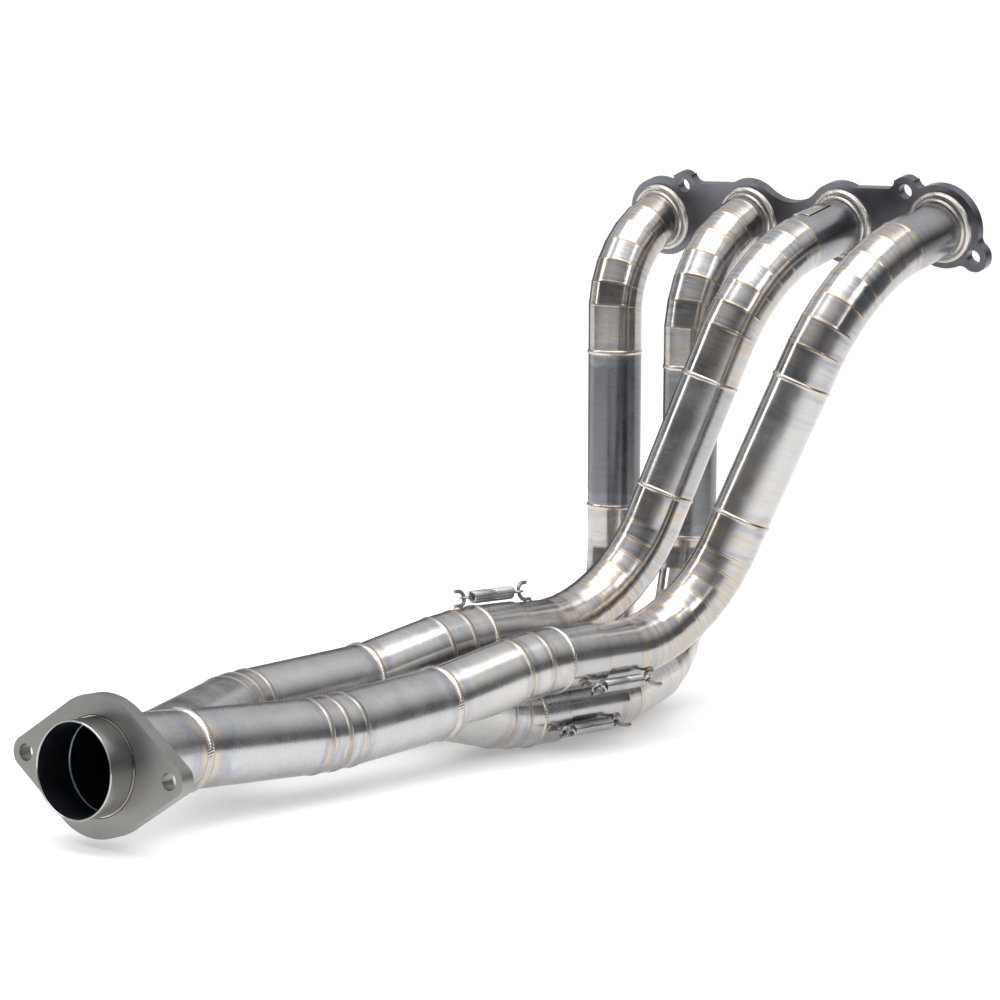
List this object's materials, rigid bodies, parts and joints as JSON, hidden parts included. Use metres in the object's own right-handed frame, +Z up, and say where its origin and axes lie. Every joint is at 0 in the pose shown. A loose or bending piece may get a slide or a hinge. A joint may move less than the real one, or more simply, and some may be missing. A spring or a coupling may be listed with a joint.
{
  "type": "racing exhaust header",
  "caption": "Pie-cut titanium racing header: ported head flange, primary tubes, sprung slip joints, two-into-one collectors, secondaries and a flanged outlet.",
  "frame": {"origin": "centre of the head flange's gasket face, on the line of the port centres", "axes": "+X along the head flange from port 1 to port 4, +Z up as the header stands on its lowest tubes, -Y towards the outlet and along the slip joints"},
  "size_m": [0.36, 0.8022, 0.4346],
  "materials": {
    "titanium_tube": "brushed titanium, warm silver grey",
    "titanium_bend": "bright machined titanium with fine circumferential lines",
    "titanium_flange": "dark machined titanium plate",
    "weld_bead": "rippled bead with straw and blue heat tint",
    "blasted_flange": "bead-blasted, satin",
    "polished_tube": "polished",
    "spring_steel": "drawn spring wire",
    "lug_rod": "bent rod with gold heat tint"
  },
  "bodies": {
    "primaries": {"head_flange": "titanium_flange", "port_weld_1": "weld_bead", "port_weld_2": "weld_bead", "port_weld_3": "weld_bead", "port_weld_4": "weld_bead", "id_plate": "polished_tube", "primary_1_stub": "titanium_tube", "primary_1_upper_bend": "titanium_bend", "primary_1_straight": "titanium_tube", "primary_1_lower_bend": "titanium_bend", "primary_1_tail": "titanium_tube", "primary_2_stub": "titanium_tube", "primary_2_upper_bend": "titanium_bend", "primary_2_straight": "titanium_tube", "primary_2_lower_bend": "titanium_bend", "primary_2_tail": "titanium_tube", "primary_3_stub": "titanium_tube", "primary_3_upper_bend": "titanium_bend", "primary_3_straight": "titanium_tube", "primary_3_lower_bend": "titanium_bend", "primary_3_tail": "titanium_tube", "primary_4_stub": "titanium_tube", "primary_4_upper_bend": "titanium_bend", "primary_4_straight": "titanium_tube", "primary_4_lower_bend": "titanium_bend", "primary_4_tail": "titanium_tube", "primary_beads": "weld_bead", "primary_lug_1": "lug_rod", "primary_lug_2": "lug_rod", "primary_lug_3": "lug_rod", "primary_lug_4": "lug_rod", "spring_1": "spring_steel", "spring_2": "spring_steel", "spring_3": "spring_steel", "spring_4": "spring_steel"},
    "collector": {"front_upper_socket": "titanium_tube", "front_lower_socket": "titanium_tube", "rear_upper_socket": "titanium_tube", "rear_lower_socket": "titanium_tube", "front_upper_merge": "titanium_bend", "front_lower_merge": "titanium_bend", "rear_upper_merge": "titanium_bend", "rear_lower_merge": "titanium_bend", "collector_lug_1": "lug_rod", "collector_lug_2": "lug_rod", "collector_lug_3": "lug_rod", "collector_lug_4": "lug_rod", "front_secondary_inlet": "titanium_tube", "front_secondary_bend": "titanium_bend", "front_secondary_outlet": "titanium_tube", "rear_secondary_inlet": "titanium_tube", "rear_secondary_bend": "titanium_bend", "rear_secondary_outlet": "titanium_tube", "collector_beads": "weld_bead", "outlet_cone": "titanium_tube", "outlet_flange": "blasted_flange", "outlet_spigot": "polished_tube"}
  },
  "joints": [
    {"name": "slip_joints", "type": "slide", "parent": "primaries", "child": "collector", "axis": [0, -1, 0], "range_m": [0, 0.012], "stiffness_N_per_m": 10000, "springref_m": -0.015, "deforming": ["spring_1", "spring_2", "spring_3", "spring_4"]}
  ]
}
